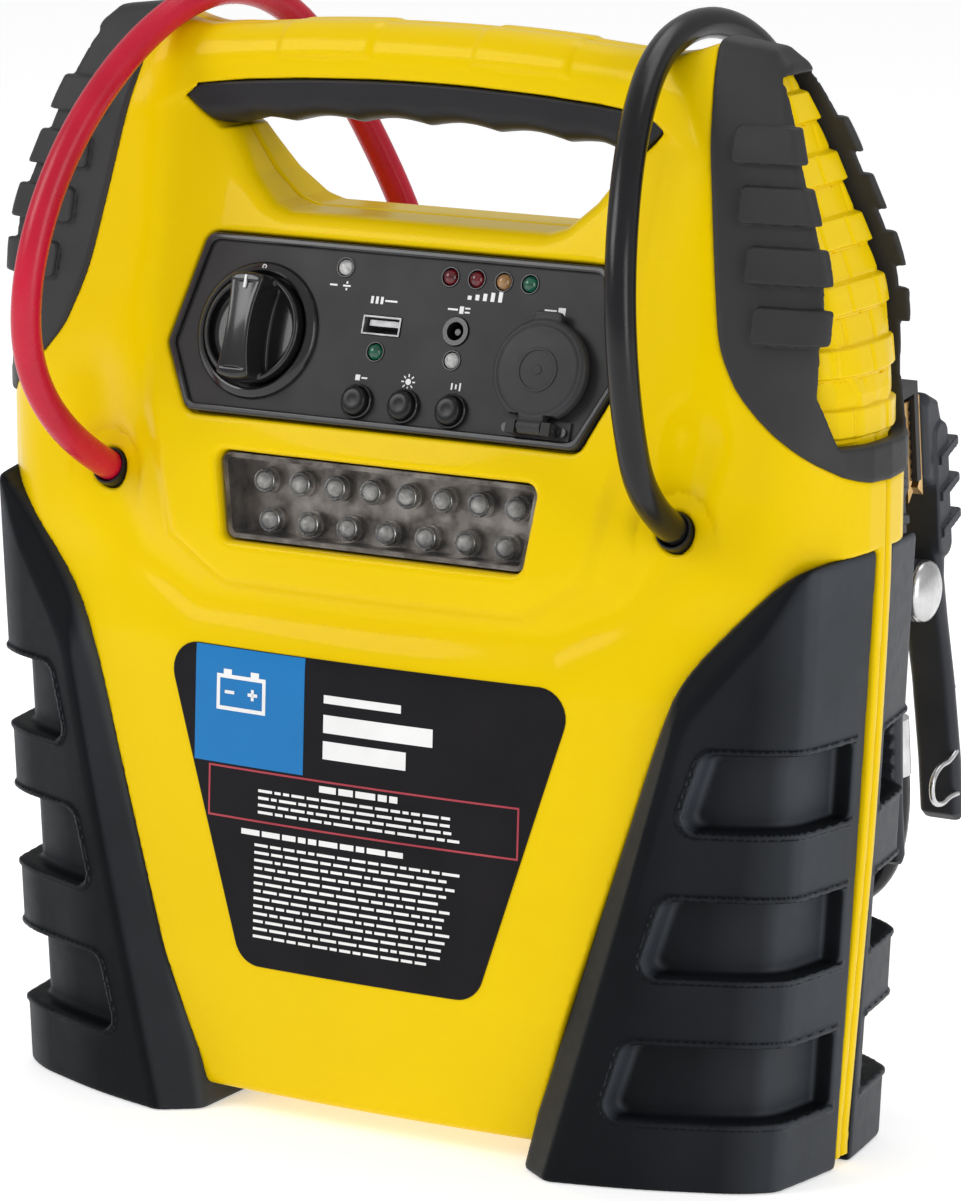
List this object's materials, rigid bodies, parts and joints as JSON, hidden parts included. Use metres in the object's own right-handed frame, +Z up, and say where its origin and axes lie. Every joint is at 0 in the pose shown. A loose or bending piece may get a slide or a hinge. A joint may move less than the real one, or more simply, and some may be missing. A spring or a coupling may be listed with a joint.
{
  "type": "jump starter pack",
  "caption": "Portable 12 V jump starter pack with two clamp leads, rubber corner guards, a carry handle and a control panel over a work lamp.",
  "frame": {"origin": "middle of the footprint, on the surface the pack stands on, under the parting plane of the two shells", "axes": "+Z up, the control panel faces -Y, +X to the right seen from the front"},
  "size_m": [0.3044, 0.1763, 0.3427],
  "materials": {
    "yellow_shell": "moulded ABS, semi-gloss yellow",
    "guard_rubber": "soft-touch overmoulded elastomer, matt charcoal",
    "grip_rubber": "soft grip, satin black",
    "panel_black": "moulded ABS, satin black",
    "knob_black": "moulded ABS, gloss black",
    "button_black": "satin black push buttons",
    "cap_rubber": "matt black cap",
    "steel": "nickel plated steel",
    "brass": "brass contact",
    "copper": "copper plated toothed jaw",
    "led_red": "tinted epoxy",
    "led_amber": "tinted epoxy",
    "led_green": "tinted epoxy",
    "led_clear": "clear epoxy",
    "lens_clear": "clear polycarbonate cover",
    "reflector": "metallised reflector tray",
    "board_green": "printed circuit board",
    "battery_grey": "battery case",
    "bracket_steel": "zinc plated strap",
    "label_film": "printed film, no lettering",
    "lead_black": "flexible PVC sheath, black",
    "lead_red": "flexible PVC sheath, red",
    "clamp_black": "moulded clamp cover, black",
    "clamp_red": "moulded clamp cover, red"
  },
  "bodies": {
    "case": {"amber_volt_led": "led_amber", "battery": "battery_grey", "battery_bracket": "bracket_steel", "battery_pads": "button_black", "battery_terminals": "brass", "black_clamp_crimp": "steel", "black_clamp_front_arm": "clamp_black", "black_clamp_front_jaw": "copper", "black_clamp_rivet": "steel", "black_clamp_spring": "steel", "black_lead": "lead_black", "button_collars": "button_black", "cap_hinge_lug": "panel_black", "cap_hinge_pin": "steel", "cap_lug_screws": "steel", "case_screws": "steel", "charge_jack": "knob_black", "clamp_holders": "panel_black", "clear_leds": "led_clear", "control_board": "board_green", "control_panel": "panel_black", "front_left_corner_guard": "guard_rubber", "front_right_corner_guard": "guard_rubber", "front_shell": "yellow_shell", "green_leds": "led_green", "handle_grip": "grip_rubber", "label_plate": "label_film", "lamp_board": "board_green", "lamp_leds": "led_clear", "lamp_lens": "lens_clear", "lamp_tray": "reflector", "lead_grommets": "button_black", "left_shoulder_guard": "guard_rubber", "left_side_panel": "yellow_shell", "outlet_barrel": "panel_black", "outlet_contact": "brass", "rear_left_corner_guard": "guard_rubber", "rear_right_corner_guard": "guard_rubber", "rear_shell": "yellow_shell", "red_clamp_crimp": "steel", "red_clamp_front_arm": "clamp_red", "red_clamp_front_jaw": "copper", "red_clamp_rivet": "steel", "red_clamp_spring": "steel", "red_lead": "lead_red", "red_volt_leds": "led_red", "right_shoulder_guard": "guard_rubber", "right_side_panel": "yellow_shell", "switch_bezel": "knob_black", "switch_body": "panel_black", "usb_socket": "steel"},
    "switch": {"switch_knob": "knob_black"},
    "usb_key": {"usb_button": "button_black"},
    "lamp_key": {"lamp_button": "button_black"},
    "test_key": {"test_button": "button_black"},
    "cap": {"outlet_cap": "cap_rubber"},
    "black_jaw": {"black_clamp_rear_arm": "clamp_black", "black_clamp_rear_jaw": "copper"},
    "red_jaw": {"red_clamp_rear_arm": "clamp_red", "red_clamp_rear_jaw": "copper"}
  },
  "joints": [
    {"name": "switch_turn", "type": "hinge", "parent": "case", "child": "switch", "pos_m": [-0.047, -0.03104, 0.24075], "axis": [0, 0.9481, -0.3179], "range_deg": [0, 90]},
    {"name": "usb_press", "type": "slide", "parent": "case", "child": "usb_key", "axis": [0, 0.9481, -0.3179], "range_m": [0, 0.001], "stiffness_N_per_m": 800, "springref_m": -0.0008},
    {"name": "lamp_press", "type": "slide", "parent": "case", "child": "lamp_key", "axis": [0, 0.9481, -0.3179], "range_m": [0, 0.001], "stiffness_N_per_m": 800, "springref_m": -0.0008},
    {"name": "test_press", "type": "slide", "parent": "case", "child": "test_key", "axis": [0, 0.9481, -0.3179], "range_m": [0, 0.001], "stiffness_N_per_m": 800, "springref_m": -0.0008},
    {"name": "cap_swing", "type": "hinge", "parent": "case", "child": "cap", "pos_m": [0.0535, -0.04081, 0.2223], "axis": [1, 0, 0], "range_deg": [0, 100]},
    {"name": "black_clamp_open", "type": "hinge", "parent": "case", "child": "black_jaw", "pos_m": [0.122, 0.066, 0.162], "axis": [-1, 0, 0], "range_deg": [0, 15], "stiffness_Nm_per_rad": 0.8, "springref_deg": -34.38},
    {"name": "red_clamp_open", "type": "hinge", "parent": "case", "child": "red_jaw", "pos_m": [-0.122, 0.066, 0.162], "axis": [-1, 0, 0], "range_deg": [0, 15], "stiffness_Nm_per_rad": 0.8, "springref_deg": -34.38}
  ]
}
